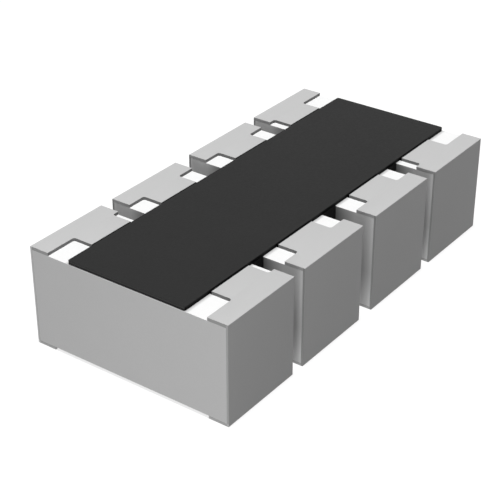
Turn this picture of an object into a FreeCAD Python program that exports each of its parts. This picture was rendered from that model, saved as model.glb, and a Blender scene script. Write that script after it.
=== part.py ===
import FreeCAD, Part
import os

import Sketcher

# Surface-mount resistor network: four isolated film resistors on one ceramic block, with eight
# terminals that wrap over its long edges. Millimetres. +X runs along the block, +Y across it and
# +Z up. The origin is on the underside of the terminals, at the middle of the outline.

doc = FreeCAD.newDocument("ResistorNetwork")
sheet = doc.addObject("Spreadsheet::Sheet", "Sizes")

DRIVING_SIZES = (
    ("array_length", 3.2, "block, end face to end face"),
    ("ceramic_width", 1.59, "block, across the bare ceramic"),
    ("ceramic_thickness", 0.712, "block, top face to underside"),
    ("outer_slot_width", 0.118, "the two slots next to the ends"),
    ("middle_slot_width", 0.164, "the slot in the middle of each side"),
    ("slot_depth", 0.315, "slot, from the bare side face to its inner end"),
    ("strip_width", 0.142, "terminal strip along the edge of a tooth, on the ceramic"),
    ("leg_width", 0.39, "leg that runs from the strip towards the resistor"),
    ("leg_setback", 0.058, "outer terminals, from the slot to the leg"),
    ("notch_radius", 0.02, "round in the corner between strip and leg"),
    ("back_pad_width", 0.35, "terminal on the underside, from the bare side face inwards"),
    ("buried_length", 0.23, "top electrode under the black coating, to its inner end"),
    ("top_silver", 0.0145, "thickness of the printed top electrode"),
    ("back_silver", 0.0115, "thickness of the printed back electrode"),
    ("side_film", 0.006, "thickness of the conductive film on the side face"),
    ("nickel_thickness", 0.004, "plated barrier layer"),
    ("tin_thickness", 0.005, "plated outer layer"),
    ("tin_edge_radius", 0.004, "round along the outer long edges of a terminal"),
    ("film_width", 0.3, "resistor film, across the current"),
    ("film_thickness", 0.006, "resistor film"),
    ("film_overlap", 0.06, "resistor film laid over each electrode"),
    ("glass_margin", 0.03, "primary glass beyond the resistor film, all round"),
    ("glass_thickness", 0.003, "primary glass over the highest part of the film"),
    ("kerf_width", 0.02, "laser trim cut across the film"),
    ("kerf_length", 0.12, "laser trim cut, into the film from its edge"),
    ("kerf_lead", 0.015, "laser trim cut, start outside the film"),
    ("overcoat_cover", 0.005, "black coating over the primary glass"),
    ("overcoat_radius", 0.045, "black coating, corner seen from above"),
    ("overcoat_edge_radius", 0.002, "black coating, round along its upper edge"),
    ("overcoat_inset", 0.001, "black coating, back from each end face"),
    ("lip_width", 0.016, "coating that has spread along a leg, up to the plating"),
    ("lip_thickness", 0.007, "that lip, above the silver"),
    ("run_thickness", 0.006, "coating that has run down the inner end of a slot"),
    ("run_depth", 0.2, "that run, from the top face of the block down"),
)

for row, (alias, value, meaning) in enumerate(DRIVING_SIZES, start=1):
    sheet.set(f"A{row}", alias)
    sheet.set(f"B{row}", str(value))
    sheet.setAlias(f"B{row}", alias)
    sheet.set(f"C{row}", meaning)
doc.recompute()

# The plated layers cover the one below them all round. Each layer has its step back from the outline
# of the finished terminal, and what it adds above the silver and the side film.
PLATING = "(Sizes.nickel_thickness + Sizes.tin_thickness)"
SILVER_STEP = PLATING
NICKEL_STEP = "Sizes.tin_thickness"
TIN_STEP = "0"
NICKEL_GROWTH = "Sizes.nickel_thickness"
TIN_GROWTH = PLATING

# Heights, from the underside of the tin upwards
TIN_BOTTOM = "0"
BACK_BOTTOM = PLATING
CERAMIC_BOTTOM = f"({PLATING} + Sizes.back_silver)"
CERAMIC_TOP = f"({CERAMIC_BOTTOM} + Sizes.ceramic_thickness)"
SILVER_TOP = f"({CERAMIC_TOP} + Sizes.top_silver)"
TIN_TOP = f"({SILVER_TOP} + {PLATING})"
FILM_TOP = f"({SILVER_TOP} + Sizes.film_thickness)"
GLASS_TOP = f"({FILM_TOP} + Sizes.glass_thickness)"
OVERCOAT_TOP = f"({GLASS_TOP} + Sizes.overcoat_cover)"
LIP_TOP = f"({SILVER_TOP} + Sizes.lip_thickness)"
RUN_BOTTOM = f"({CERAMIC_TOP} - Sizes.run_depth)"
RUN_TOP = f"({CERAMIC_TOP} + Sizes.run_thickness)"

# Distances from the middle plane outwards, across the block
CERAMIC_SIDE = "(Sizes.ceramic_width / 2)"
SLOT_END = f"({CERAMIC_SIDE} - Sizes.slot_depth)"
OVERCOAT_EDGE = SLOT_END
PLATING_EDGE = f"({OVERCOAT_EDGE} + Sizes.lip_width)"
RUN_FACE = f"({SLOT_END} + Sizes.run_thickness)"
SILVER_INNER_END = f"({OVERCOAT_EDGE} - Sizes.buried_length)"
BACK_INNER_END = f"({CERAMIC_SIDE} - Sizes.back_pad_width)"
BACK_SILVER_END = f"({BACK_INNER_END} + {SILVER_STEP})"
STRIP_EDGE = f"({CERAMIC_SIDE} - Sizes.strip_width)"
SIDE_FILM_FACE = f"({CERAMIC_SIDE} + Sizes.side_film)"
TIN_FACE = f"({SIDE_FILM_FACE} + {PLATING})"

# The slots leave four teeth of one length on each side. Those at +Y, in order along +X, each have
# their start, and the start of the leg of their terminal measured from there.
HALF_LENGTH = "(Sizes.array_length / 2)"
TOOTH = f"(({HALF_LENGTH} - Sizes.outer_slot_width - Sizes.middle_slot_width / 2) / 2)"
INNER_START = "(Sizes.middle_slot_width / 2)"
SLOT_CENTRE = f"({INNER_START} + {TOOTH} + Sizes.outer_slot_width / 2)"
CENTRED_LEG = f"(({TOOTH} - Sizes.leg_width) / 2)"
SLOTS = (
    (f"(-{SLOT_CENTRE})", "Sizes.outer_slot_width"),
    ("0", "Sizes.middle_slot_width"),
    (SLOT_CENTRE, "Sizes.outer_slot_width"),
)
TEETH = (
    (f"(-{HALF_LENGTH})", f"({TOOTH} - Sizes.leg_setback - Sizes.leg_width)"),
    (f"(-{INNER_START} - {TOOTH})", CENTRED_LEG),
    (INNER_START, CENTRED_LEG),
    (f"({HALF_LENGTH} - {TOOTH})", "Sizes.leg_setback"),
)

# A round can't be larger than its wall allows: the step beside a leg, or the tin at its corner
NOTCH_LIMIT = "0.9 * Sizes.leg_setback"
TIN_ROUND = "min(Sizes.tin_edge_radius; 3 * Sizes.tin_thickness)"
OVERCOAT_ROUND = "min(Sizes.overcoat_edge_radius; 0.9 * Sizes.overcoat_radius)"

# Two coordinates nearer than this, in millimetres, are the same
SAME = 1e-6


def number(expression):
    """The present value of an expression over the sheet."""
    return float(sheet.evalExpression(expression.replace("Sizes.", "")))


def origin_plane(body, role):
    """The body's own base plane of that role."""
    return next(plane for plane in body.Origin.OriginFeatures if plane.Role == role)


def new_sketch(body, name, role="XY_Plane", height="0"):
    """A sketch on a base plane of the body, raised along the plane's normal."""
    sketch = body.newObject("Sketcher::SketchObject", name)
    sketch.AttachmentSupport = [(origin_plane(body, role), "")]
    sketch.MapMode = "FlatFace"
    sketch.setExpression("AttachmentOffset.Base.z", height)
    return sketch


def bind_distance(sketch, kind, edge, expression):
    """Hold the start of an edge at a distance from the origin, along one axis."""
    value = number(expression)
    if value == 0:
        axis = -2 if kind == "DistanceX" else -1
        sketch.addConstraint(Sketcher.Constraint("PointOnObject", edge, 1, axis))
        return
    if value > 0:
        points = (-1, 1, edge, 1)
        bound = expression
    else:
        points = (edge, 1, -1, 1)
        bound = f"-({expression})"
    index = sketch.addConstraint(Sketcher.Constraint(kind, *points, abs(value)))
    sketch.setExpression(f"Constraints[{index}]", bound)


def draw_outline(sketch, corners):
    """A closed outline of level and upright lines through corners given as pairs of expressions."""
    first = sketch.GeometryCount
    count = len(corners)
    places = [FreeCAD.Vector(number(across), number(up), 0) for across, up in corners]
    for index in range(count):
        sketch.addGeometry(Part.LineSegment(places[index], places[(index + 1) % count]), False)
    for index in range(count):
        edge = first + index
        following = first + (index + 1) % count
        sketch.addConstraint(Sketcher.Constraint("Coincident", edge, 2, following, 1))
        upright = corners[index][0] == corners[(index + 1) % count][0]
        sketch.addConstraint(Sketcher.Constraint("Vertical" if upright else "Horizontal", edge))
    for index in range(count):
        edge = first + index
        upright = corners[index][0] == corners[(index + 1) % count][0]
        if upright:
            bind_distance(sketch, "DistanceX", edge, corners[index][0])
        else:
            bind_distance(sketch, "DistanceY", edge, corners[index][1])


def box_corners(left, right, low, high):
    """The corners of a rectangle, counter-clockwise."""
    return [(left, low), (right, low), (right, high), (left, high)]


def pad(body, sketch, name, length):
    """Raise a sketch along its plane's normal."""
    feature = body.newObject("PartDesign::Pad", name)
    feature.Profile = sketch
    feature.setExpression("Length", length)
    return feature


def block(body, name, corners, low, high):
    """Pad an outline on the level plane from one height to another."""
    sketch = new_sketch(body, name + "_outline", height=low)
    draw_outline(sketch, corners)
    return pad(body, sketch, name, f"{high} - {low}")


def lies_on(edge, axis, value):
    """Whether both ends of an edge have that coordinate."""
    return all(abs(getattr(vertex.Point, axis) - value) < SAME for vertex in edge.Vertexes)


def upright_edges_at(shape, places):
    """Names of the edges along Z that stand at one of the places, given as pairs of X and Y."""
    names = []
    for index, edge in enumerate(shape.Edges, start=1):
        if any(lies_on(edge, "x", x) and lies_on(edge, "y", y) for x, y in places):
            names.append(f"Edge{index}")
    return names


def level_edges_at(shape, *heights):
    """Names of the edges that lie level at one of the heights."""
    names = []
    for index, edge in enumerate(shape.Edges, start=1):
        if any(lies_on(edge, "z", number(height)) for height in heights):
            names.append(f"Edge{index}")
    return names


def fillet(body, name, base, edges, radius):
    """Round the named edges of the last feature."""
    feature = body.newObject("PartDesign::Fillet", name)
    feature.Base = (base, edges)
    feature.setExpression("Radius", radius)
    return feature


def tooth_of(terminal):
    """Terminals 1 to 4 run along -Y and 5 to 8 back along +Y, so 1 faces 8 and 4 faces 5."""
    return TEETH[(8 - terminal) % 4]


def leg_sides(terminal, step):
    """Where one layer's leg starts and ends along the tooth."""
    leg_start = tooth_of(terminal)[1]
    return f"({leg_start} + {step})", f"({leg_start} + Sizes.leg_width - {step})"


def plate_corners(terminal, step, inner_end, outer_face):
    """One layer seen from above: a strip along the edge of the tooth and a leg towards the middle."""
    start = f"({step})"
    end = f"({TOOTH} - {step})"
    strip_edge = f"({STRIP_EDGE} + {step})"
    leg_start, leg_end = leg_sides(terminal, step)
    return [
        (start, outer_face),
        (start, strip_edge),
        (leg_start, strip_edge),
        (leg_start, inner_end),
        (leg_end, inner_end),
        (leg_end, strip_edge),
        (end, strip_edge),
        (end, outer_face),
    ]


def round_notches(body, base, terminal, step):
    """Round the corners between the strip and the leg, in every plate of the body."""
    doc.recompute()
    strip_edge = number(f"{STRIP_EDGE} + {step}")
    places = [(number(side), strip_edge) for side in leg_sides(terminal, step)]
    radius = f"min(Sizes.notch_radius + {step}; {NOTCH_LIMIT})"
    return fillet(body, "notch_rounds", base, upright_edges_at(base.Shape, places), radius)


def stand_at_tooth(body, terminal):
    """Move a terminal's piece to its tooth. Those at -Y are turned half round."""
    start = tooth_of(terminal)[0]
    if terminal > 4:
        body.setExpression("Placement.Base.x", start)
    else:
        body.setExpression("Placement.Base.x", f"-{start}")
        body.Placement.Rotation = FreeCAD.Rotation(FreeCAD.Vector(0, 0, 1), 180)


def slot_sides():
    """Both side walls of each slot, along X."""
    return [(f"({centre} - {width} / 2)", f"({centre} + {width} / 2)") for centre, width in SLOTS]


def make_substrate():
    """The ceramic block with three slots cut right through it from each long side."""
    body = doc.addObject("PartDesign::Body", "substrate")
    corners = box_corners(f"(-{HALF_LENGTH})", HALF_LENGTH, f"(-{CERAMIC_SIDE})", CERAMIC_SIDE)
    block(body, "ceramic_block", corners, CERAMIC_BOTTOM, CERAMIC_TOP)
    sketch = new_sketch(body, "slot_outlines", height=CERAMIC_TOP)
    for left, right in slot_sides():
        draw_outline(sketch, box_corners(left, right, SLOT_END, CERAMIC_SIDE))
    pocket = body.newObject("PartDesign::Pocket", "slots")
    pocket.Profile = sketch
    pocket.Type = "ThroughAll"
    mirrored = body.newObject("PartDesign::Mirrored", "slots_opposite")
    mirrored.Originals = [pocket]
    mirrored.MirrorPlane = (origin_plane(body, "XZ_Plane"), [""])
    body.Tip = mirrored
    return body


def make_silver_plate(name, terminal, low, high, inner_end):
    """A printed silver electrode on the top or the underside of a tooth."""
    body = doc.addObject("PartDesign::Body", f"{name}_{terminal}")
    corners = plate_corners(terminal, SILVER_STEP, inner_end, CERAMIC_SIDE)
    plate = block(body, "plate", corners, low, high)
    round_notches(body, plate, terminal, SILVER_STEP)
    stand_at_tooth(body, terminal)
    return body


def make_side_electrode(terminal):
    """The conductive film on the side face of a tooth, over the ends of both silver plates."""
    body = doc.addObject("PartDesign::Body", f"side_electrode_{terminal}")
    corners = box_corners(SILVER_STEP, f"({TOOTH} - {SILVER_STEP})", CERAMIC_SIDE, SIDE_FILM_FACE)
    block(body, "film", corners, BACK_BOTTOM, SILVER_TOP)
    stand_at_tooth(body, terminal)
    return body


def make_bracket(name, terminal, step, growth):
    """A terminal up to the outside of one layer: a top plate, a side wall and a bottom plate."""
    bottom = f"({BACK_BOTTOM} - {growth})"
    top = f"({SILVER_TOP} + {growth})"
    face = f"({SIDE_FILM_FACE} + {growth})"
    body = doc.addObject("PartDesign::Body", f"{name}_{terminal}")
    wall = box_corners(f"({step})", f"({TOOTH} - {step})", CERAMIC_SIDE, face)
    block(body, "side_wall", wall, bottom, top)
    block(body, "top_plate", plate_corners(terminal, step, PLATING_EDGE, face), CERAMIC_TOP, top)
    inner_end = f"({BACK_INNER_END} + {step})"
    plate = block(body, "bottom_plate", plate_corners(terminal, step, inner_end, face), bottom, CERAMIC_BOTTOM)
    round_notches(body, plate, terminal, step)
    stand_at_tooth(body, terminal)
    return body


def make_tin_bracket(terminal):
    """The outside of the terminal, with its two long outer edges rounded."""
    body = make_bracket("tin_bracket", terminal, TIN_STEP, TIN_GROWTH)
    doc.recompute()
    outer = [name for name in level_edges_at(body.Tip.Shape, TIN_BOTTOM, TIN_TOP)
             if lies_on(body.Tip.Shape.getElement(name), "y", number(TIN_FACE))]
    fillet(body, "long_edges", body.Tip, outer, TIN_ROUND)
    return body


def element_centre(index):
    """Where the legs that serve one resistor are centred along X."""
    start, leg_start = TEETH[index]
    return f"({start} + {leg_start} + Sizes.leg_width / 2)"


def make_box(name, sizes, corner):
    """A box with sizes and corner given as expressions."""
    box = doc.addObject("Part::Box", name)
    for prop, expression in zip(("Length", "Width", "Height"), sizes):
        box.setExpression(prop, expression)
    for axis, expression in zip("xyz", corner):
        box.setExpression(f"Placement.Base.{axis}", expression)
    return box


def make_cut(name, base, tools):
    """The base less the tools, which stay in the document as they are."""
    together = doc.addObject("Part::Compound", name + "_tools")
    together.Links = tools
    cut = doc.addObject("Part::Cut", name)
    cut.Base = base
    cut.Tool = together
    return cut


def make_film_blank(index):
    """The resistor film before trimming: level on the ceramic and stepped up over both electrodes."""
    body = doc.addObject("PartDesign::Body", f"film_blank_{index + 1}")
    sketch = new_sketch(body, "section", role="YZ_Plane")
    end = f"({SILVER_INNER_END} + Sizes.film_overlap)"
    step = f"({SILVER_INNER_END} - Sizes.film_thickness)"
    film_floor_top = f"({CERAMIC_TOP} + Sizes.film_thickness)"
    right_half = [
        (SILVER_INNER_END, CERAMIC_TOP),
        (SILVER_INNER_END, SILVER_TOP),
        (end, SILVER_TOP),
        (end, FILM_TOP),
        (step, FILM_TOP),
        (step, film_floor_top),
    ]
    left_half = [(f"(-{across})", up) for across, up in reversed(right_half)]
    draw_outline(sketch, right_half + left_half)
    feature = pad(body, sketch, "film", "Sizes.film_width")
    feature.Midplane = True
    body.setExpression("Placement.Base.x", element_centre(index))
    return body


def make_kerf(index):
    """The straight cut that a laser burns into the film from one edge to trim its value."""
    edge = f"({element_centre(index)} + Sizes.film_width / 2)"
    sizes = ("Sizes.kerf_length + Sizes.kerf_lead", "Sizes.kerf_width", f"{GLASS_TOP} - {CERAMIC_TOP}")
    corner = (f"{edge} - Sizes.kerf_length", "-Sizes.kerf_width / 2", CERAMIC_TOP)
    return make_box(f"kerf_{index + 1}", sizes, corner)


def make_glass(index, blank, kerf, electrodes):
    """Primary glass over a resistor film, cut through where the film was trimmed."""
    half_width = "(Sizes.film_width / 2 + Sizes.glass_margin)"
    half_length = f"({SILVER_INNER_END} + Sizes.film_overlap + Sizes.glass_margin)"
    sizes = (f"2 * {half_width}", f"2 * {half_length}", f"{GLASS_TOP} - {CERAMIC_TOP}")
    corner = (f"{element_centre(index)} - {half_width}", f"-{half_length}", CERAMIC_TOP)
    slab = make_box(f"glass_slab_{index + 1}", sizes, corner)
    return make_cut(f"glass_coat_{index + 1}", slab, [blank, kerf] + electrodes)


def make_overcoat(tools):
    """The black coating over all that it covers, with a lip along each leg and a run in each slot."""
    body = doc.addObject("PartDesign::Body", "overcoat_blank")
    end = f"({HALF_LENGTH} - Sizes.overcoat_inset)"
    corners = box_corners(f"(-{end})", end, f"(-{OVERCOAT_EDGE})", OVERCOAT_EDGE)
    slab = block(body, "slab", corners, CERAMIC_TOP, OVERCOAT_TOP)
    doc.recompute()
    places = [(x * number(end), y * number(OVERCOAT_EDGE)) for x in (-1, 1) for y in (-1, 1)]
    rounded = fillet(body, "corners", slab, upright_edges_at(slab.Shape, places), "Sizes.overcoat_radius")
    doc.recompute()
    fillet(body, "upper_edge", rounded, level_edges_at(rounded.Shape, OVERCOAT_TOP), OVERCOAT_ROUND)
    sketch = new_sketch(body, "lip_outlines", height=CERAMIC_TOP)
    for index in range(len(TEETH)):
        left = f"({element_centre(index)} - Sizes.leg_width / 2)"
        right = f"({element_centre(index)} + Sizes.leg_width / 2)"
        draw_outline(sketch, box_corners(left, right, f"(-{PLATING_EDGE})", PLATING_EDGE))
    pad(body, sketch, "lips", f"{LIP_TOP} - {CERAMIC_TOP}")
    sketch = new_sketch(body, "run_outlines", height=RUN_BOTTOM)
    for left, right in slot_sides():
        draw_outline(sketch, box_corners(left, right, SLOT_END, RUN_FACE))
        draw_outline(sketch, box_corners(left, right, f"(-{RUN_FACE})", f"(-{SLOT_END})"))
    pad(body, sketch, "runs", f"{RUN_TOP} - {RUN_BOTTOM}")
    return make_cut("overcoat", body, tools)


terminals = range(1, 9)
substrate = make_substrate()
top_silver = {n: make_silver_plate("top_electrode", n, CERAMIC_TOP, SILVER_TOP, SILVER_INNER_END)
              for n in terminals}
back_silver = {n: make_silver_plate("back_electrode", n, BACK_BOTTOM, CERAMIC_BOTTOM, BACK_SILVER_END)
               for n in terminals}
side_film = {n: make_side_electrode(n) for n in terminals}
nickel = []
tin = []
for n in terminals:
    nickel_bracket = make_bracket("nickel_bracket", n, NICKEL_STEP, NICKEL_GROWTH)
    under_nickel = [top_silver[n], side_film[n], back_silver[n]]
    nickel.append(make_cut(f"nickel_barrier_{n}", nickel_bracket, under_nickel))
    tin.append(make_cut(f"tin_plating_{n}", make_tin_bracket(n), [nickel_bracket]))

films = []
glass = []
for index in range(len(TEETH)):
    facing = [top_silver[index + 1], top_silver[8 - index]]
    blank = make_film_blank(index)
    kerf = make_kerf(index)
    films.append(make_cut(f"resistor_element_{index + 1}", blank, [kerf]))
    glass.append(make_glass(index, blank, kerf, facing))
overcoat = make_overcoat(list(top_silver.values()) + films + glass)
doc.recompute()

pieces = [substrate, overcoat] + films + glass + nickel + tin
pieces += list(side_film.values()) + list(top_silver.values()) + list(back_silver.values())

for item in doc.Objects:
    if "Invalid" in item.State or "Error" in item.State:
        raise RuntimeError(f"{item.Label} failed: {item.State}")
for piece in pieces:
    if piece.Shape.isNull() or not piece.Shape.isValid():
        raise RuntimeError(f"{piece.Label} has no valid shape")

os.makedirs("parts", exist_ok=True)
for piece in pieces:
    piece.Shape.exportStep(f"parts/{piece.Label}.step")
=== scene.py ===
import math

import bmesh
import bpy
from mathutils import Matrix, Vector


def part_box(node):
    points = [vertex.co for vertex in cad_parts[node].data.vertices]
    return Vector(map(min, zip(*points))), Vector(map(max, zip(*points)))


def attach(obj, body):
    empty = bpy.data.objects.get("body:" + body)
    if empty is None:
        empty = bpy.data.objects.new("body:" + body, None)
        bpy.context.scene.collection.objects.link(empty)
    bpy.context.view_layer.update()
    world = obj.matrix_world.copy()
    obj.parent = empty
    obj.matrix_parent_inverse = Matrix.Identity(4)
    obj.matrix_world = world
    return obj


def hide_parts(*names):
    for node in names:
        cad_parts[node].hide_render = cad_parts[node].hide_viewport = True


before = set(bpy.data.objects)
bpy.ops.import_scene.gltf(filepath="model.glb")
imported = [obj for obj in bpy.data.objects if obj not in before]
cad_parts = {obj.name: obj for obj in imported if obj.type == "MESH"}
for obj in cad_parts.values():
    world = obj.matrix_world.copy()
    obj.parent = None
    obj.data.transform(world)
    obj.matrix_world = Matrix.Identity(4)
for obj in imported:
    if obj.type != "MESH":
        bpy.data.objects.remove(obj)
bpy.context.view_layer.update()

# Surface-mount resistor network in metres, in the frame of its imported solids: +X along the ceramic
# block, +Y across it, +Z up, with the terminals standing on the plane Z = 0.

bl_info = {
    "name": "Chip resistor network",
    "version": (1, 0, 0),
    "blender": (4, 5, 0),
    "location": "View3D > Sidebar > Resistor network",
    "description": "Ceramic chip with four film resistors, black coating and plated wrap-around terminals",
    "category": "Object",
}

MICRON = 1e-6
MILLIMETRE = 1e-3
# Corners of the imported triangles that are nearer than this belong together
WELD = 0.01 * MICRON
# Faces that meet at less than this are one flat face
FLAT = math.radians(1)
# Edges that turn outwards by more than this are rounded
SHARP = math.radians(40)
# A face looks along an axis if at least this much of its normal lies on it
ALONG = 0.9
# Half the width of the coating without its lips, which is also where the slots end on the inside
COATED = 480 * MICRON
# How gradual the borders between two tones of one material are
SOFT = 2 * MICRON
WHITE = (1, 1, 1, 1)
TERMINALS = range(1, 9)
ELEMENTS = range(1, 5)


def linear(code):
    """An sRGB hex colour as the linear values that Blender works in."""
    channels = [int(code[place:place + 2], 16) / 255 for place in (1, 3, 5)]
    return [c / 12.92 if c <= 0.04045 else ((c + 0.055) / 1.055) ** 2.4 for c in channels]


class CeramicSettings(bpy.types.PropertyGroup):
    edge_round: bpy.props.FloatProperty(
        name="Edge round", description="Wear along the edges of the fired block",
        default=1.5 * MICRON, min=0, unit="LENGTH", precision=6)
    colour: bpy.props.FloatVectorProperty(
        name="Alumina", description="Colour of the white ceramic",
        default=linear("#F2F2F2"), size=3, min=0, max=1, subtype="COLOR")
    # Painted shade: the slot walls are drawn greyer than the top face, for the shade in the slots
    shaded_slot_colour: bpy.props.FloatVectorProperty(
        name="Slot walls", description="Colour of the ceramic in the slots, dull from sputtering and paste",
        default=linear("#CECECE"), size=3, min=0, max=1, subtype="COLOR")
    # Painted shade: the slot walls are drawn darker towards the inner end of a slot
    inner_shade: bpy.props.FloatProperty(
        name="Inner shade", description="Share of that colour left at the inner end of a slot",
        default=0.22, min=0, max=1)
    inner_shade_length: bpy.props.FloatProperty(
        name="Stain length", description="How far the stain reaches out from the inner end",
        default=160 * MICRON, min=MICRON, unit="LENGTH", precision=6)
    # Painted light: the slot walls are drawn paler near the underside
    foot_painted_light: bpy.props.FloatProperty(
        name="Foot gain", description="How much cleaner and paler the slot walls are near the underside",
        default=1.4, min=0)
    foot: bpy.props.FloatProperty(
        name="Foot", description="Height up to which that shows",
        default=300 * MICRON, min=MICRON, unit="LENGTH", precision=6)
    # Painted light: the slot walls are drawn paler at the mouth of a slot
    mouth_painted_light: bpy.props.FloatProperty(
        name="Mouth gain", description="How much paler they are at the mouth, where the plate was snapped",
        default=1.12, min=0)
    mouth: bpy.props.FloatProperty(
        name="Mouth", description="How far in from the side face that reaches",
        default=28 * MICRON, min=MICRON, unit="LENGTH", precision=6)
    # Painted shade: the top face is drawn darker right beside the coating
    coating_shade: bpy.props.FloatProperty(
        name="Coating shade", description="Share of the white left on the top face, right beside the coating",
        default=0.5, min=0, max=1)
    coating_shade_length: bpy.props.FloatProperty(
        name="Bleed length", description="How far the resin of the coating has crept over the top face",
        default=30 * MICRON, min=MICRON, unit="LENGTH", precision=6)
    grain: bpy.props.FloatProperty(
        name="Grain", description="Size of the fired grains",
        default=14 * MICRON, min=MICRON, unit="LENGTH", precision=6)


class TerminalSettings(bpy.types.PropertyGroup):
    edge_round: bpy.props.FloatProperty(
        name="Edge round", description="Round of the plating along its outer edges",
        default=1.5 * MICRON, min=0, unit="LENGTH", precision=6)
    colour: bpy.props.FloatVectorProperty(
        name="Matte tin", description="Colour of the plated tin",
        default=linear("#BEBEBE"), size=3, min=0, max=1, subtype="COLOR")
    # Painted shade: the plating is drawn darker on its edges where it steps down to the ceramic on top
    edge_shade_colour: bpy.props.FloatVectorProperty(
        name="Rim", description="Colour of the plating where it steps down to the ceramic",
        default=linear("#767676"), size=3, min=0, max=1, subtype="COLOR")
    # Painted light: at an end face the plating is drawn paler at its edges, by these three gains
    front_light_gain: bpy.props.FloatProperty(
        name="Front gain", description="How much paler the thin plating is at an end face, in the -Y row",
        default=1.2, min=0)
    rear_light_gain: bpy.props.FloatProperty(
        name="Rear gain", description="How much paler it is there in the +Y row",
        default=1.6, min=0)
    pad_light_gain: bpy.props.FloatProperty(
        name="Pad gain", description="How much paler it is there at the edge of the underside",
        default=1.3, min=0)
    cut_colour: bpy.props.FloatVectorProperty(
        name="Cut edge", description="Colour of the plating's cut edge beside a slot",
        default=linear("#CACACA"), size=3, min=0, max=1, subtype="COLOR")
    # Painted shade: the share of that colour left down the side face beside a slot
    cut_shade_share: bpy.props.FloatProperty(
        name="Cut share", description="Share of that colour left down the side, where the inner layers show",
        default=0.72, min=0, max=1)
    grain: bpy.props.FloatProperty(
        name="Grain", description="Size of the tin crystals",
        default=12 * MICRON, min=MICRON, unit="LENGTH", precision=6)


class CoatingSettings(bpy.types.PropertyGroup):
    colour: bpy.props.FloatVectorProperty(
        name="Overcoat", description="Colour of the black coating",
        default=linear("#272727"), size=3, min=0, max=1, subtype="COLOR")
    # Painted highlight: the upper part of the coating's edge at an end is drawn paler
    shoulder_highlight_colour: bpy.props.FloatVectorProperty(
        name="Shoulder", description="Colour of the upper part of its edge",
        default=linear("#4C4C4C"), size=3, min=0, max=1, subtype="COLOR")
    end_shoulder: bpy.props.FloatProperty(
        name="Shoulder at the ends", description="How far down from the top that part goes at an end",
        default=13 * MICRON, min=0, unit="LENGTH", precision=6)
    long_shoulder: bpy.props.FloatProperty(
        name="Shoulder along the slots", description="How far down from the top it goes along a side",
        default=6 * MICRON, min=0, unit="LENGTH", precision=6)
    lit_end_edge: bpy.props.FloatProperty(
        name="End edge", description="Share of the shoulder's colour below it, at the ends",
        default=0.38, min=0, max=1)
    # Painted shade: below the very top, the coating's edge along the slots and its lips on the legs are near
    # black
    shaded_rim: bpy.props.FloatProperty(
        name="Rim", description="Share of the colour left below it along the slots, and on the legs",
        default=0.05, min=0, max=1)
    packed_corner: bpy.props.FloatProperty(
        name="Packed corner", description="Radius of the coating's corners as they come, from above",
        default=45 * MICRON, min=MICRON, unit="LENGTH", precision=6)
    corner: bpy.props.FloatProperty(
        name="Corner", description="Radius that they are drawn out to",
        default=14 * MICRON, min=0, unit="LENGTH", precision=6)
    grain: bpy.props.FloatProperty(
        name="Filler", description="Size of the filler grains that show in the surface",
        default=16 * MICRON, min=MICRON, unit="LENGTH", precision=6)


class InnerSettings(bpy.types.PropertyGroup):
    silver: bpy.props.FloatVectorProperty(
        name="Fired silver", description="Colour of the printed electrodes",
        default=linear("#D9D6CF"), size=3, min=0, max=1, subtype="COLOR")
    nickel: bpy.props.FloatVectorProperty(
        name="Nickel", description="Colour of the barrier layer",
        default=linear("#B9B1A2"), size=3, min=0, max=1, subtype="COLOR")
    edge_film: bpy.props.FloatVectorProperty(
        name="Edge film", description="Colour of the conductive film on the side face",
        default=linear("#A8A6A2"), size=3, min=0, max=1, subtype="COLOR")
    resistor_film: bpy.props.FloatVectorProperty(
        name="Resistor film", description="Colour of the fired ruthenium oxide",
        default=linear("#2B2B30"), size=3, min=0, max=1, subtype="COLOR")
    glass: bpy.props.FloatVectorProperty(
        name="Primary glass", description="Colour of the glass over the resistor film",
        default=linear("#7FA08C"), size=3, min=0, max=1, subtype="COLOR")


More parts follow.
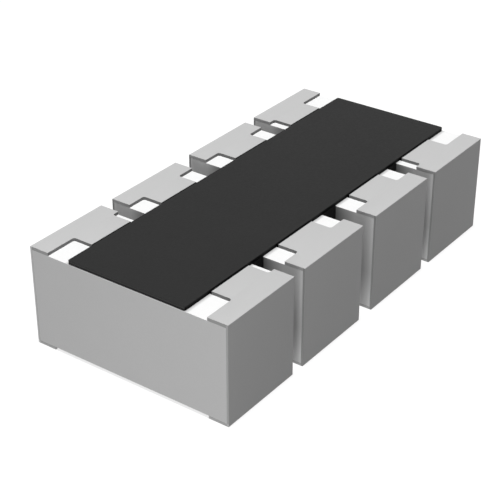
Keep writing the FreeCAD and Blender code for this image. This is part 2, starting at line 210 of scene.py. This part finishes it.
class StageSettings(bpy.types.PropertyGroup):
    floor_radius: bpy.props.FloatProperty(
        name="Floor", description="Radius of the pale floor",
        default=60 * MILLIMETRE, min=MILLIMETRE, unit="LENGTH", precision=5)
    glow: bpy.props.FloatProperty(
        name="Glow", description="Strength of the even light from the floor",
        default=0.31, min=0)
    floor_level: bpy.props.FloatProperty(
        name="Floor level", description="Strength at which the floor shows in full shadow",
        default=0.74, min=0)
    floor_shade: bpy.props.FloatProperty(
        name="Floor shade", description="How strongly the shadow of the part shows on the floor",
        default=0.3, min=0, max=1)
    sky: bpy.props.FloatProperty(
        name="Sky", description="Strength of the even light from all sides",
        default=0.08, min=0)
    lamp: bpy.props.FloatProperty(
        name="Lamp", description="Strength of the soft lamp above",
        default=3.14, min=0)
    lamp_size: bpy.props.FloatProperty(
        name="Lamp size", description="How wide the lamp looks from the object",
        default=math.radians(12), min=0, subtype="ANGLE")
    lamp_from: bpy.props.FloatVectorProperty(
        name="Lamp from", description="Direction that its light comes from",
        default=(-0.05, 0.0, 1.0), size=3, subtype="DIRECTION")
    fill: bpy.props.FloatProperty(
        name="Fill", description="Power of the lamp beside the near end, in watts",
        default=1.25e-4, min=0, precision=6)
    fill_place: bpy.props.FloatVectorProperty(
        name="Fill lamp", description="Where that lamp stands",
        default=(-8.3 * MILLIMETRE, -3.8 * MILLIMETRE, 1.5 * MILLIMETRE),
        size=3, subtype="TRANSLATION", precision=6)
    fill_size: bpy.props.FloatProperty(
        name="Fill size", description="Edge of that lamp",
        default=3 * MILLIMETRE, min=MICRON, unit="LENGTH", precision=5)
    camera_place: bpy.props.FloatVectorProperty(
        name="Camera", description="Where the camera stands",
        default=(-7.069 * MILLIMETRE, -4.952 * MILLIMETRE, 5.245 * MILLIMETRE),
        size=3, subtype="TRANSLATION", precision=6)
    camera_heading: bpy.props.FloatProperty(
        name="Heading", description="Camera's turn from +Y towards +X",
        default=math.radians(53.96), subtype="ANGLE")
    camera_drop: bpy.props.FloatProperty(
        name="Drop", description="Camera's angle below the horizon",
        default=math.radians(30.05), subtype="ANGLE")
    lens: bpy.props.FloatProperty(
        name="Lens", description="Focal length in millimetres for a 36 mm sensor",
        default=99.0, min=1)


class NetworkSettings(bpy.types.PropertyGroup):
    ceramic: bpy.props.PointerProperty(type=CeramicSettings)
    terminals: bpy.props.PointerProperty(type=TerminalSettings)
    coating: bpy.props.PointerProperty(type=CoatingSettings)
    inner: bpy.props.PointerProperty(type=InnerSettings)
    stage: bpy.props.PointerProperty(type=StageSettings)


def add(tree, kind, values=None, links=None, **settings):
    """Add one node with its settings, the values of its inputs and the sockets that feed them."""
    node = tree.nodes.new(kind)
    for name, value in settings.items():
        setattr(node, name, value)
    for name, value in (values or {}).items():
        node.inputs[name].default_value = value
    for name, source in (links or {}).items():
        tree.links.new(source, node.inputs[name])
    return node


def granular(name, colour, grain, spread, mottle, roughness, relief, fades=(), **surface):
    """A surface of fine grains: each a little lighter or darker, with its own roughness and relief.

    The grains are cells of the given size. Spread is how far they differ in colour, mottle is the same
    for clouds of them, and relief is how high they stand. Each fade changes the colour along one axis,
    the same on both sides of the origin: from a share of it at the first distance to the full colour at
    the second. Whatever else is given is set on the surface by the name of its input.
    """
    # Nearly all of the noise lies between these
    noise = {"From Min": 0.25, "From Max": 0.75}
    cloud_width = 20
    material = bpy.data.materials.new(name)
    material.use_nodes = True
    tree = material.node_tree
    tree.nodes.clear()
    place = add(tree, "ShaderNodeTexCoord").outputs["Object"]
    per_metre = 1 / grain
    grains = add(tree, "ShaderNodeTexNoise", {"Scale": per_metre, "Detail": 3.0, "Roughness": 0.6},
                 {"Vector": place}).outputs["Fac"]
    clouds = add(tree, "ShaderNodeTexNoise", {"Scale": per_metre / cloud_width, "Detail": 2.0},
                 {"Vector": place}).outputs["Fac"]
    shade = add(tree, "ShaderNodeMapRange", {**noise, "To Min": 1 - spread, "To Max": 1 + spread},
                {"Value": grains}).outputs["Result"]
    cloud = add(tree, "ShaderNodeMapRange", {**noise, "To Min": 1 - mottle, "To Max": 1 + mottle},
                {"Value": clouds}).outputs["Result"]
    level = add(tree, "ShaderNodeMath", None, {0: shade, 1: cloud}, operation="MULTIPLY").outputs["Value"]
    for axis, share, first, second in fades:
        parts = add(tree, "ShaderNodeSeparateXYZ", None, {"Vector": place})
        distance = add(tree, "ShaderNodeMath", None, {0: parts.outputs[axis]}, operation="ABSOLUTE")
        left = add(tree, "ShaderNodeMapRange",
                   {"From Min": first, "From Max": second, "To Min": share, "To Max": 1.0},
                   {"Value": distance.outputs["Value"]}).outputs["Result"]
        level = add(tree, "ShaderNodeMath", None, {0: level, 1: left}, operation="MULTIPLY").outputs["Value"]
    tinted = add(tree, "ShaderNodeVectorMath", {0: colour}, {"Scale": level}, operation="SCALE")
    rough = add(tree, "ShaderNodeMapRange", {**noise, "To Min": roughness[0], "To Max": roughness[1]},
                {"Value": grains}).outputs["Result"]
    bump = add(tree, "ShaderNodeBump", {"Strength": 1.0, "Distance": relief}, {"Height": grains})
    shader = add(tree, "ShaderNodeBsdfPrincipled", surface,
                 {"Base Color": tinted.outputs["Vector"], "Roughness": rough,
                  "Normal": bump.outputs["Normal"]})
    add(tree, "ShaderNodeOutputMaterial", None, {"Surface": shader.outputs["BSDF"]})
    return material


def dress(piece, *materials):
    """Give a piece its materials, in place of whatever it came with."""
    if piece.data.materials:
        # This also forgets which face has which material, so a new mesh isn't cleared
        piece.data.materials.clear()
    for material in materials:
        piece.data.materials.append(material)


def rounded_copy(node, name, width, is_outer, which):
    """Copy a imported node, join its loose triangles, and round the edges that stand out and show.

    Which of the piece's materials a face gets depends on its centre and normal.
    """
    mesh = bpy.data.meshes.new(name)
    shell = bmesh.new()
    shell.from_mesh(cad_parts[node].data)
    bmesh.ops.remove_doubles(shell, verts=shell.verts, dist=WELD)
    bmesh.ops.dissolve_limit(shell, angle_limit=FLAT, verts=shell.verts, edges=shell.edges)
    edges = [edge for edge in shell.edges
             if edge.is_manifold and edge.calc_face_angle_signed() > SHARP and is_outer(edge)]
    bmesh.ops.bevel(shell, geom=edges, offset=width, offset_type="OFFSET", segments=3, profile=0.5,
                    affect="EDGES", material=-1, clamp_overlap=True)
    for face in shell.faces:
        face.smooth = True
        face.material_index = which(face.calc_center_median(), face.normal)
    shell.to_mesh(mesh)
    shell.free()
    mesh.set_sharp_from_angle(angle=SHARP)
    piece = bpy.data.objects.new(name, mesh)
    bpy.context.scene.collection.objects.link(piece)
    even = piece.modifiers.new("Even shading", "WEIGHTED_NORMAL")
    even.keep_sharp = True
    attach(piece, "root")
    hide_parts(node)
    return piece


class NETWORK_OT_ceramic(bpy.types.Operator):
    """Make the white ceramic block with its slots"""
    bl_idname = "resistor_network.ceramic"
    bl_label = "Ceramic block"

    def execute(self, context):
        look = context.scene.resistor_network.ceramic
        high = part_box("substrate")[1]
        # 96 % alumina, pressed, fired and snapped from a plate: bright, dull and finely grained. Its real
        # grains are some 4 microns wide, and are drawn coarser so that they show
        fired = {"grain": look.grain, "spread": 0.012, "mottle": 0.006, "roughness": (0.55, 0.75),
                 "relief": 0.5 * MICRON, "IOR": 1.76, "Specular IOR Level": 0.3}
        alumina = granular("fired_alumina", look.colour, **fired)
        # The same alumina in the slots, drawn greyer as painted shade that deepens towards the inner end.
        # Painted light keeps it palest over the outermost quarter of the mouth and lowest quarter of the
        # foot
        slot_fades = [("Y", look.inner_shade, COATED, COATED + look.inner_shade_length),
                      ("Y", look.mouth_painted_light, high.y - look.mouth / 4, high.y - look.mouth),
                      ("Z", look.foot_painted_light, look.foot / 4, look.foot)]
        shaded_slot_alumina = granular("slot_alumina_painted_shade", look.shaded_slot_colour, fades=slot_fades, **fired)
        # The top face, drawn darker right beside the black coating as painted shade
        coating_shade = [("Y", look.coating_shade, COATED, COATED + look.coating_shade_length)]
        shaded_top_alumina = granular("alumina_beside_the_coating", look.colour, fades=coating_shade, **fired)

        def which(centre, normal):
            """The plain alumina, a side wall of a slot, or the top face."""
            if abs(normal.x) > ALONG and abs(centre.x) < high.x - 2 * look.edge_round:
                return 1
            return 2 if normal.z > ALONG else 0

        block = rounded_copy("substrate", "ceramic_block", look.edge_round, lambda edge: True, which)
        dress(block, alumina, shaded_slot_alumina, shaded_top_alumina)
        return {"FINISHED"}


class NETWORK_OT_terminals(bpy.types.Operator):
    """Make the eight plated terminals"""
    bl_idname = "resistor_network.terminals"
    bl_label = "Terminals"

    def execute(self, context):
        look = context.scene.resistor_network.terminals
        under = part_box("substrate")[0].z
        end, wall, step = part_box("substrate")[1]
        # Matte tin, plated from a bath without brightener: even grey that scatters more than it mirrors,
        # here with hardly any mirroring, as in the photograph. Its crystals are some 5 microns wide, and
        # are drawn coarser so that they show
        dull = {"Metallic": 0.05, "Specular IOR Level": 0.2}
        plated = {"grain": look.grain, "spread": 0.015, "mottle": 0.004, "roughness": (0.5, 0.65),
                  "relief": 0.6 * MICRON, **dull}
        tin = granular("matte_tin_plating", look.colour, **plated)
        # The same tin down the edge of the printed silver, rougher, and drawn darker as painted shade
        shaded_rim = granular("tin_edge_painted_shade", look.edge_shade_colour, look.grain / 2, spread=0.05, mottle=0.02,
                       roughness=(0.6, 0.8), relief=MICRON, **dull)
        # Where the plating ends beside an end face, painted light makes it paler beyond the side face and at
        # the underside, more in the +Y row than in the -Y row
        pad = ("Z", look.pad_light_gain, under, under + SOFT)
        lit = [granular(f"tin_end_painted_light_{row}", look.colour,
                         fades=[("Y", gain, wall + SOFT, wall), pad], **plated)
                for row, gain in (("front", look.front_light_gain), ("rear", look.rear_light_gain))]
        # Beside a slot the plating's edge is a paler tin, drawn darker down the side face as painted shade
        cut = granular("slot_edge_tin_painted_shade", look.cut_colour,
                       fades=[("Y", look.cut_shade_share, wall + SOFT, wall)], **plated)
        for number in TERMINALS:
            node = f"tin_plating_{number}"
            low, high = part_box(node)
            face = max(abs(low.y), abs(high.y))
            short_of_face = face - 50 * MICRON

            def is_outer(edge):
                """Whether an edge runs along the top, the underside or the side face."""
                tips = [vertex.co for vertex in edge.verts]
                levels = (all(abs(tip.z - low.z) < WELD for tip in tips),
                          all(abs(tip.z - high.z) < WELD for tip in tips),
                          all(abs(abs(tip.y) - face) < WELD for tip in tips))
                return any(levels)

            def which(centre, normal):
                """The plain tin, its painted-shade edges beside the bare ceramic on top, its end, or its
                edge at a slot.
                """
                if abs(centre.x) > end - WELD:
                    return 2
                if abs(normal.x) > ALONG and not low.x + WELD < centre.x < high.x - WELD:
                    return 3
                on_top = centre.z > step and abs(centre.y) < short_of_face
                return int(on_top and abs(normal.z) < ALONG)

            terminal = rounded_copy(node, f"terminal_{number}", look.edge_round, is_outer, which)
            dress(terminal, tin, shaded_rim, lit[int(low.y > 0)], cut)
        return {"FINISHED"}


class NETWORK_OT_coating(bpy.types.Operator):
    """Finish the black coating"""
    bl_idname = "resistor_network.coating"
    bl_label = "Black coating"

    def execute(self, context):
        look = context.scene.resistor_network.coating
        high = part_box("overcoat")[1]
        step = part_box("substrate")[1].z
        # Screen-printed epoxy with mineral filler, cured: black, dull, with a fine even grain. The filler is
        # some 5 microns wide, and is drawn coarser so that it shows
        epoxy = {"grain": look.grain, "spread": 0.05, "mottle": 0.03, "roughness": (0.5, 0.65),
                 "relief": 0.7 * MICRON, "IOR": 1.55, "Specular IOR Level": 0.05}
        overcoat = granular("printed_epoxy_overcoat", look.colour, **epoxy)
        # At an end the upper part of the edge is paler, a painted highlight as if a rounded edge caught
        # the light, and below that it keeps only a share of that colour. Along a side all but the very top
        # of the edge, and the lips on the legs, are near black as painted shade
        end_line = high.z - look.end_shoulder
        lit_end_edge = granular("epoxy_end_edge_painted_highlight", look.shoulder_highlight_colour,
                            fades=[("Z", look.lit_end_edge, end_line - SOFT, end_line + SOFT)], **epoxy)
        long_line = high.z - look.long_shoulder
        shaded_long_edge = granular("epoxy_side_edge_painted_shade", look.colour,
                             fades=[("Z", look.shaded_rim, long_line - SOFT, long_line + SOFT)], **epoxy)
        # Painted shade: the lips on the legs are near black
        lip = granular("epoxy_lip_painted_shade", [look.shaded_rim * channel for channel in look.colour], **epoxy)

        def which(centre, normal):
            """The coating, its edge at an end, its edge along a side, or its lip on the legs."""
            if centre.z > step and abs(centre.y) > COATED + MICRON:
                return 3
            if centre.z < step or normal.z > 0.5:
                return 0
            return 2 if abs(normal.y) > abs(normal.x) else 1

        coating = rounded_copy("overcoat", "black_coating", 0.0, lambda edge: False, which)
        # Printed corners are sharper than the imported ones: draw them out, within the same outline
        sides = (high.x, COATED)
        for vertex in coating.data.vertices:
            past = [abs(vertex.co[axis]) - (sides[axis] - look.packed_corner) for axis in (0, 1)]
            if min(past) > -WELD:
                for axis in (0, 1):
                    reach = sides[axis] - look.corner + past[axis] * look.corner / look.packed_corner
                    vertex.co[axis] = math.copysign(reach, vertex.co[axis])
        dress(coating, overcoat, lit_end_edge, shaded_long_edge, lip)
        return {"FINISHED"}


class NETWORK_OT_inner_layers(bpy.types.Operator):
    """Finish the layers inside the part"""
    bl_idname = "resistor_network.inner_layers"
    bl_label = "Inner layers"

    def execute(self, context):
        look = context.scene.resistor_network.inner
        # Some two to four times the real grains of these fired and plated layers, so that they show
        grain = 8 * MICRON
        relief = 0.5 * MICRON
        # Silver paste fired at 850 degrees: pale, porous and dull
        silver = granular("fired_silver_paste", look.silver, grain, spread=0.05, mottle=0.03,
                          roughness=(0.45, 0.6), relief=relief, Metallic=0.9)
        # Nickel from a sulphamate bath: warm grey, satin
        nickel = granular("plated_nickel", look.nickel, grain, spread=0.03, mottle=0.02,
                          roughness=(0.3, 0.42), relief=relief / 2, Metallic=1.0)
        # Thin metal film on the snapped side face, as rough as the ceramic under it
        edge_film = granular("conductive_edge_film", look.edge_film, grain, spread=0.04, mottle=0.03,
                             roughness=(0.5, 0.65), relief=relief, Metallic=0.9)
        # Ruthenium oxide in glass, printed and fired: nearly black, slightly glassy
        resistor = granular("fired_resistor_paste", look.resistor_film, grain, spread=0.1, mottle=0.06,
                            roughness=(0.35, 0.5), relief=relief, IOR=1.7)
        # Green-tinted primary glass, fired smooth over the film
        glass = granular("primary_glass", look.glass, grain * 4, spread=0.02, mottle=0.02,
                         roughness=(0.08, 0.14), relief=relief / 4, IOR=1.6, Alpha=0.6)
        layers = (("top_electrode", TERMINALS, silver), ("back_electrode", TERMINALS, silver),
                  ("nickel_barrier", TERMINALS, nickel), ("side_electrode", TERMINALS, edge_film),
                  ("resistor_element", ELEMENTS, resistor), ("glass_coat", ELEMENTS, glass))
        for stem, numbers, material in layers:
            for number in numbers:
                dress(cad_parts[f"{stem}_{number}"], material)
        return {"FINISHED"}


def seen(tree):
    """One for a ray that shows the background: straight, by a mirror or through glass."""
    ray = add(tree, "ShaderNodeLightPath")
    both = add(tree, "ShaderNodeMath", None,
               {0: ray.outputs["Is Camera Ray"], 1: ray.outputs["Is Glossy Ray"]},
               operation="MAXIMUM")
    return add(tree, "ShaderNodeMath", None,
               {0: both.outputs["Value"], 1: ray.outputs["Is Transmission Ray"]},
               operation="MAXIMUM").outputs["Value"]


def lay_floor(look):
    """A round light table just under the terminals, which shows white with the soft shadow on it."""
    gap = 0.5 * MICRON
    mesh = bpy.data.meshes.new("floor")
    disc = bmesh.new()
    bmesh.ops.create_circle(disc, cap_ends=True, segments=96, radius=look.floor_radius)
    bmesh.ops.translate(disc, verts=disc.verts, vec=(0, 0, -gap))
    disc.to_mesh(mesh)
    disc.free()
    floor = bpy.data.objects.new("floor", mesh)
    bpy.context.scene.collection.objects.link(floor)
    material = bpy.data.materials.new("pale_floor")
    material.use_nodes = True
    tree = material.node_tree
    tree.nodes.clear()
    light = add(tree, "ShaderNodeEmission", {"Color": WHITE, "Strength": look.glow})
    shadow_only = add(tree, "ShaderNodeBsdfDiffuse", {"Color": [look.floor_shade] * 3 + [1]})
    glow = add(tree, "ShaderNodeEmission", {"Color": WHITE, "Strength": look.floor_level})
    shown = add(tree, "ShaderNodeAddShader", None,
                {0: shadow_only.outputs["BSDF"], 1: glow.outputs["Emission"]})
    both = add(tree, "ShaderNodeMixShader", None,
               {0: seen(tree), 1: light.outputs["Emission"], 2: shown.outputs["Shader"]})
    add(tree, "ShaderNodeOutputMaterial", None, {"Surface": both.outputs["Shader"]})
    dress(floor, material)


def light_sky(look):
    """An even sky, which shows white and gives less light than that."""
    world = bpy.data.worlds.new("studio")
    bpy.context.scene.world = world
    world.use_nodes = True
    tree = world.node_tree
    tree.nodes.clear()
    level = add(tree, "ShaderNodeMapRange", {"To Min": look.sky, "To Max": 1.0}, {"Value": seen(tree)})
    sky = add(tree, "ShaderNodeBackground", {"Color": WHITE}, {"Strength": level.outputs["Result"]})
    add(tree, "ShaderNodeOutputWorld", None, {"Surface": sky.outputs["Background"]})


def hang_lamp(look):
    """A soft lamp nearly overhead, a little towards the near end."""
    lamp = bpy.data.lights.new("soft_lamp", "SUN")
    lamp.energy = look.lamp
    lamp.angle = look.lamp_size
    holder = bpy.data.objects.new("soft_lamp", lamp)
    holder.rotation_euler = Vector(look.lamp_from).to_track_quat("Z", "Y").to_euler()
    bpy.context.scene.collection.objects.link(holder)


def stand_fill(look):
    """A weak lamp low beside the near end, which lights the outer part of the slots."""
    lamp = bpy.data.lights.new("fill_lamp", "AREA")
    lamp.energy = look.fill
    lamp.size = look.fill_size
    holder = bpy.data.objects.new("fill_lamp", lamp)
    holder.location = look.fill_place
    holder.rotation_euler = Vector(look.fill_place).to_track_quat("Z", "Y").to_euler()
    bpy.context.scene.collection.objects.link(holder)


def place_camera(look):
    """The camera of the photograph, worked out from the edges of the block."""
    eye = bpy.data.cameras.new("camera")
    eye.sensor_width = 36
    eye.lens = look.lens
    eye.clip_start = 0.1 * MILLIMETRE
    eye.clip_end = 1
    camera = bpy.data.objects.new("camera", eye)
    camera.location = look.camera_place
    camera.rotation_euler = (math.pi / 2 - look.camera_drop, 0, -look.camera_heading)
    bpy.context.scene.collection.objects.link(camera)
    bpy.context.scene.camera = camera


class NETWORK_OT_stage(bpy.types.Operator):
    """Lay the floor, light the part and place the camera"""
    bl_idname = "resistor_network.stage"
    bl_label = "Stage"

    def execute(self, context):
        look = context.scene.resistor_network.stage
        lay_floor(look)
        light_sky(look)
        hang_lamp(look)
        stand_fill(look)
        place_camera(look)
        context.scene.view_settings.view_transform = "Standard"
        return {"FINISHED"}


class NETWORK_PT_panel(bpy.types.Panel):
    """List the steps that make the part"""
    bl_idname = "NETWORK_PT_panel"
    bl_label = "Resistor network"
    bl_space_type = "VIEW_3D"
    bl_region_type = "UI"
    bl_category = "Resistor network"

    def draw(self, context):
        settings = context.scene.resistor_network
        groups = ((NETWORK_OT_ceramic, settings.ceramic), (NETWORK_OT_terminals, settings.terminals),
                  (NETWORK_OT_coating, settings.coating), (NETWORK_OT_inner_layers, settings.inner),
                  (NETWORK_OT_stage, settings.stage))
        for operator, group in groups:
            box = self.layout.box()
            box.operator(operator.bl_idname)
            for name in group.__annotations__:
                box.prop(group, name)


CLASSES = (CeramicSettings, TerminalSettings, CoatingSettings, InnerSettings, StageSettings, NetworkSettings,
           NETWORK_OT_ceramic, NETWORK_OT_terminals, NETWORK_OT_coating, NETWORK_OT_inner_layers,
           NETWORK_OT_stage, NETWORK_PT_panel)


def register():
    """Add the settings, the steps and the panel."""
    for one in CLASSES:
        bpy.utils.register_class(one)
    bpy.types.Scene.resistor_network = bpy.props.PointerProperty(type=NetworkSettings)


def unregister():
    """Take them away again."""
    del bpy.types.Scene.resistor_network
    for one in reversed(CLASSES):
        bpy.utils.unregister_class(one)


def main():
    """Make the part and its stage."""
    register()
    bpy.ops.resistor_network.ceramic()
    bpy.ops.resistor_network.terminals()
    bpy.ops.resistor_network.coating()
    bpy.ops.resistor_network.inner_layers()
    bpy.ops.resistor_network.stage()


if __name__ == "__main__":
    main()
